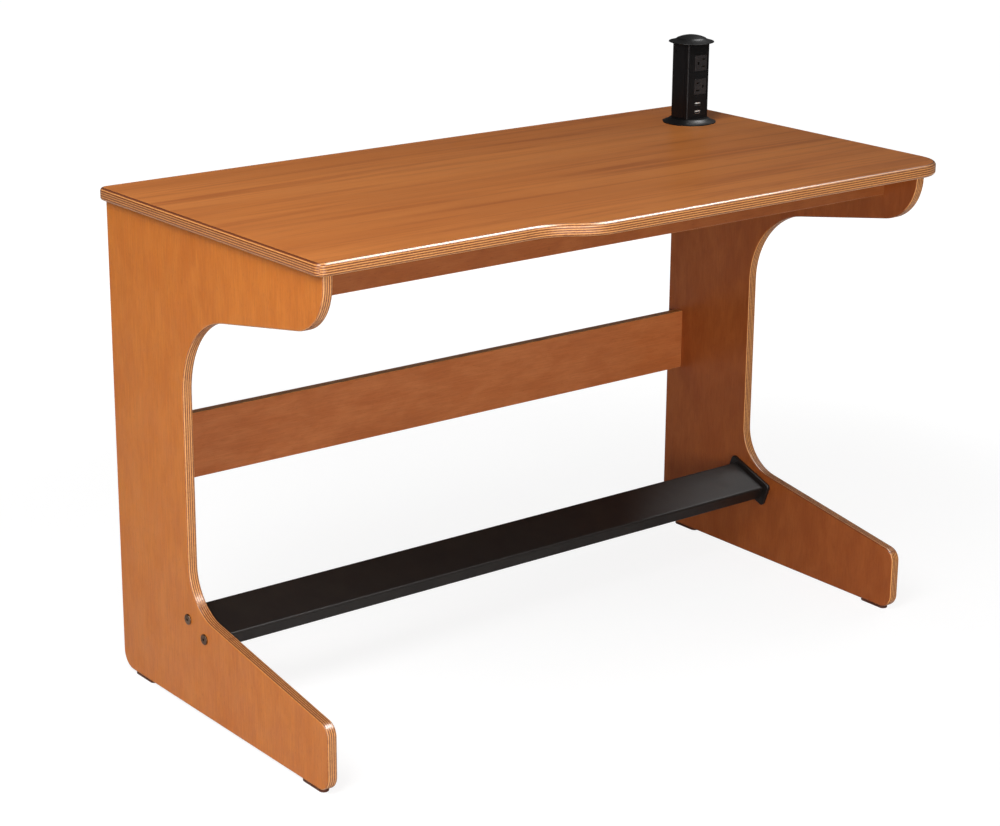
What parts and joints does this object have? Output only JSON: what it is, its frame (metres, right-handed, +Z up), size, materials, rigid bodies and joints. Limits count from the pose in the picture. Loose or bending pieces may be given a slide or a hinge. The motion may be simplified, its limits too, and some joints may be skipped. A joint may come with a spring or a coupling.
{
  "type": "computer desk with pull-up power tower",
  "caption": "Free-standing desk: stepped worktop on C-shaped plywood sides with a back rail, front apron, tilted footrest and a power tower that slides up through the top.",
  "frame": {"origin": "on the floor under the middle of the worktop (bottom centre of the bounding box, tower raised)", "axes": "+X to the user's right along the width, +Y from the user's side to the back, +Z up"},
  "size_m": [1.2232, 0.6536, 0.9611],
  "materials": {
    "plywood": "clear-coated multi-ply edge, light and dark plies",
    "worktop_laminate": "satin cherry-coloured wood grain, running along the width",
    "backer_sheet": "plain brown balancing sheet",
    "stained_plywood": "satin stained birch face, grain upright on the sides",
    "beech": "plain turned beech",
    "zinc": "bright zinc plating",
    "brown_nylon": "matte brown nylon",
    "black_powder_coat": "satin black powder coat with a fine texture",
    "bronze_finish": "dark bronze plating",
    "black_plastic": "satin moulded plastic",
    "black_rubber": "matte rubber",
    "black_anodised": "satin black anodised extrusion",
    "black_steel": "black oxide",
    "black_gloss_plastic": "semi-gloss moulded thermoset",
    "brass_contacts": "bright pressed brass",
    "usb_steel": "bright stamped shell",
    "white_plastic": "plain white",
    "circuit_board": "green solder mask",
    "cord_jacket": "satin black cable jacket",
    "plug_nickel": "bright nickel",
    "hook_and_loop": "woven strap"
  },
  "bodies": {
    "desk": {"top_core": "plywood", "top_laminate": "worktop_laminate", "underside_sheet": "backer_sheet", "left_side_panel": "stained_plywood", "right_side_panel": "stained_plywood", "back_rail": "stained_plywood", "front_apron": "stained_plywood", "wooden_dowels": "beech", "cam_bolts": "zinc", "cam_locks": "zinc", "top_brackets": "zinc", "bracket_screws": "zinc", "glides": "brown_nylon", "glide_screws": "zinc", "footrest_tube": "black_powder_coat", "footrest_left_plate": "black_powder_coat", "footrest_right_plate": "black_powder_coat", "footrest_bolts": "bronze_finish", "footrest_nuts": "zinc", "tower_flange": "black_plastic", "friction_ring": "black_rubber", "clamp_nut": "black_plastic"},
    "power_tower": {"tower_body": "black_anodised", "tower_fascia": "black_plastic", "tower_lid": "black_plastic", "shell_screws": "black_steel", "base_plug": "black_plastic", "strain_relief": "black_rubber", "outlet_upper": "black_gloss_plastic", "outlet_lower": "black_gloss_plastic", "outlet_contacts": "brass_contacts", "usb_module": "black_plastic", "usb_shells": "usb_steel", "usb_tongues": "white_plastic", "usb_charger_board": "circuit_board", "power_cord": "cord_jacket", "cord_plug": "cord_jacket", "plug_blades": "plug_nickel", "cord_tie": "hook_and_loop"}
  },
  "joints": [
    {"name": "tower_slide", "type": "slide", "parent": "desk", "child": "power_tower", "axis": [0, 0, 1], "range_m": [-0.1317, 0]}
  ]
}
